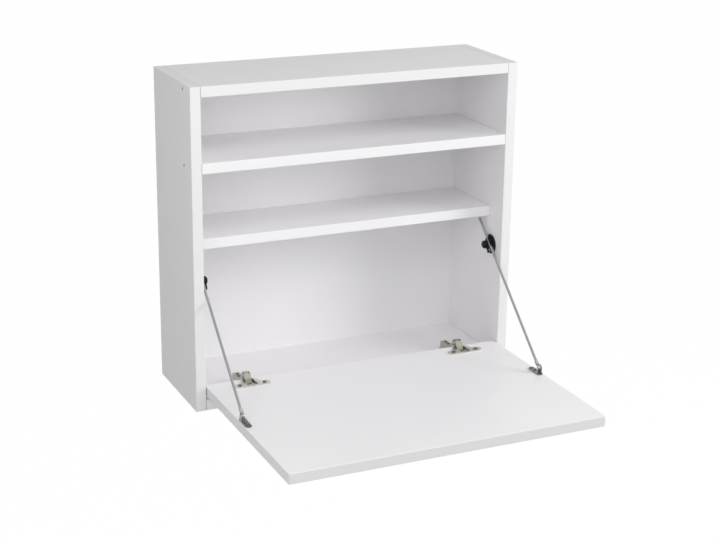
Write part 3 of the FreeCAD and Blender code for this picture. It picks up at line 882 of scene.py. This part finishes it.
# %% Hanger screws
hanger_screw = 2.6 * MM
hanger_screw_step = 21 * MM
for side in SIDES:
    _, high, middle = box_and_middle(side + "_hanger_plate")
    for end, step in (("upper", hanger_screw_step), ("lower", -hanger_screw_step)):
        place = (middle.x, high.y + proud - SCREW_HEIGHT * hanger_screw, middle.z + step)
        add_screw(f"{side}_hanger_screw_{end}", place, TO_WALL, hanger_screw, "cabinet", shade_painted_screw)
print(len(screws), "screws in all")

# %% [markdown]
# ## Stay cables
# A steel cable in a pale sheath runs from its ferrule on the flap through the clamp to a free
# tail. When the flap closes, the cable goes slack and hangs in a loop. A straight solid can't do
# that, so we model the cable again as a tube with many rings, put it where the straight solid
# was and hide the solid.

# %% Model a cable
cable_sides, cable_rings = 24, 72


def model_cable(side):
    start, end, along, radius = cables[side]
    length = (end - start).length
    bpy.ops.object.select_all(action="DESELECT")
    bpy.ops.mesh.primitive_cylinder_add(vertices=cable_sides, radius=radius, depth=length)
    cable = start_piece(side + "_sheathed_cable")
    choose(cable, "edges", lambda edge: abs(edge.verts[0].co.z - edge.verts[1].co.z) > length / 2)
    bpy.ops.mesh.subdivide(number_cuts=cable_rings)
    choose(cable, "edges", lambda edge: all(v.co.z > length / 2 - TINY for v in edge.verts))
    bpy.ops.mesh.bevel(offset=0.35 * radius, segments=3)
    end_piece(cable)
    cable.data.transform(Matrix.Translation((start + end) / 2) @ face_along(along))
    return cable


for side in SIDES:
    cable = model_cable(side)
    wear(cable, sheath_grey)
    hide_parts(side + "_stay_cable")
    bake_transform(cable)
print("cables", len(cable.data.vertices), "points each")

# %% [markdown]
# ## Ribbed grips
# The clamp's knob is turned by thumb and finger, so its side is ribbed. A ribbed ring is
# modelled round the plain knob: every second face of a cylinder is pushed out and all edges
# are softened, which gives even ribs from one extrude.

# %% Model a grip
grip_radius, grip_depth = 6.5 * MM, 4.6 * MM
grip_behind_tip = 1.6 * MM
rib_height, rib_softness = 0.55 * MM, 0.35 * MM
grip_faces = 36
grip_smooth_degrees = 35


def is_rib(face):
    """Whether a side face of the ring, numbered round it, has an even number."""
    if abs(face.normal.z) > 0.5:
        return False
    face_degrees = 360 / grip_faces
    turn = math.degrees(math.atan2(face.normal.y, face.normal.x)) % 360
    return round(turn / face_degrees - 0.5) % 2 == 0


def model_grip(side):
    inward = towards_middle(side)
    low, high, _ = box_and_middle(side + "_clamp_knob")
    tip_x, _ = inner_and_outer(side, low, high)
    _, _, clamp_middle = box_and_middle(side + "_stay_clamp")
    middle_x = tip_x - inward * (grip_behind_tip + grip_depth / 2)
    bpy.ops.object.select_all(action="DESELECT")
    bpy.ops.mesh.primitive_cylinder_add(
        vertices=grip_faces, radius=grip_radius, depth=grip_depth,
        location=(middle_x, clamp_middle.y, clamp_middle.z), rotation=(0, inward * math.pi / 2, 0),
    )
    grip = start_piece(side + "_knob_grip")
    choose(grip, "faces", is_rib)
    bpy.ops.mesh.extrude_faces_move(TRANSFORM_OT_shrink_fatten={"value": rib_height})
    choose(grip, "edges", lambda edge: all(v.co.z > grip_depth / 2 - TINY for v in edge.verts))
    bpy.ops.mesh.bevel(offset=rib_softness, segments=2)
    end_piece(grip, grip_smooth_degrees)
    fasten(grip, knob_black, side + "_knob")
    return grip


grips = [model_grip(side) for side in SIDES]
print("grip", len(grips[0].data.polygons), "faces")

# %% [markdown]
# ## Rivet heads
# The cable's eye turns on a rivet, and the hinge's link on a pin whose ends are peened over.
# Each shows as a shallow dome: a cylinder whose rim gets a wide rounded bevel.

# %% Model a rivet head
RIVET_HEIGHT = 0.5
rivet_radius, pin_head_radius = 3.2 * MM, 2.2 * MM


def dome_on(side, name, place, way, radius, material, body):
    dome = copy_to(rivet_head, f"{side}_{name}", place, (way, 0, 0), radius)
    fasten(dome, material, body)
    return dome


rivet_head = model_head("rivet_head_master", RIVET_HEIGHT, rim=0.45, steps=5)
domes = []
for side in SIDES:
    low, high, middle = box_and_middle(side + "_cable_rivet")
    face_x, _ = inner_and_outer(side, low, high)
    place = (face_x, middle.y, middle.z)
    domes.append(dome_on(side, "stay_rivet_head", place, towards_middle(side), rivet_radius,
                         zinc, "flap"))
    low, high, middle = box_and_middle(side + "_hinge_pin")
    for end, face_x, way in (("a", low.x, -1), ("b", high.x, 1)):
        place = (face_x, middle.y, middle.z)
        domes.append(dome_on(side, f"hinge_pin_head_{end}", place, way, pin_head_radius,
                             polished_pin, side + "_link"))
for master in (screw_head, nail_head, rivet_head):
    bpy.data.objects.remove(master, do_unlink=True)
print(len(domes), "rivet and pin heads")

# %% [markdown]
# ## Sizes
# The dressed desk has to stay inside the space its solids fill, so the last cell measures its
# box and prints how much it has grown beyond the solids' box.

# %% Sizes
seen_low, seen_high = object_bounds()
growth = (seen_high - seen_low) - (cad_high - cad_low)
print("grown by", [round(change / MM, 2) for change in growth], "mm")
